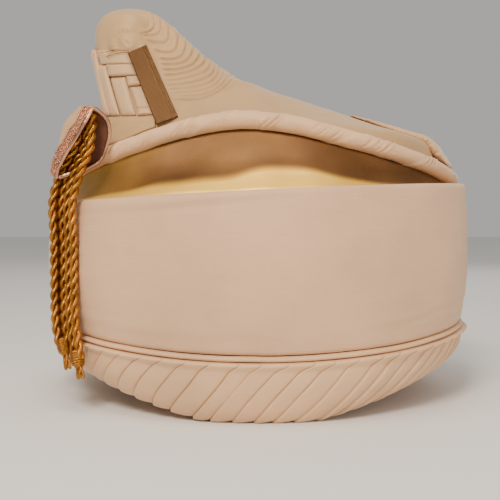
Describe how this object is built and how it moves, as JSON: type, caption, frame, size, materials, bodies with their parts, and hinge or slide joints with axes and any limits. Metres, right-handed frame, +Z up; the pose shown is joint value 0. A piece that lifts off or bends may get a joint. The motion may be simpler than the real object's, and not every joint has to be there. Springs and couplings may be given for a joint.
{
  "type": "tied turban",
  "caption": "Stiff tied turban with a pleated rim, a wide plain band, a gold panel under a wound roll, a gathered hump and a corded tassel.",
  "frame": {"origin": "middle of the box's base, on the surface that the pleated rim rests on", "axes": "+Z up through the crown, -Y to the front where the gold panel shows, -X to the hump and the tassel"},
  "size_m": [0.2776, 0.2716, 0.247],
  "materials": {
    "ivory_cloth": "satin",
    "cream_cloth": "satin",
    "zari_cloth": "metallic thread",
    "gold_cord": "metallic thread",
    "rose_gold_braid": "metallic thread"
  },
  "bodies": {
    "root": {"pleated_rim": "ivory_cloth", "band_binding": "ivory_cloth", "wide_band": "cream_cloth", "zari_panel": "zari_cloth", "crest_roll": "ivory_cloth", "crown": "cream_cloth", "side_wrap": "ivory_cloth", "woven_face": "ivory_cloth", "foot_fold": "cream_cloth", "zari_tail": "zari_cloth", "ornament_shell": "cream_cloth", "ornament_braid": "rose_gold_braid", "tassel": "gold_cord"}
  },
  "joints": []
}
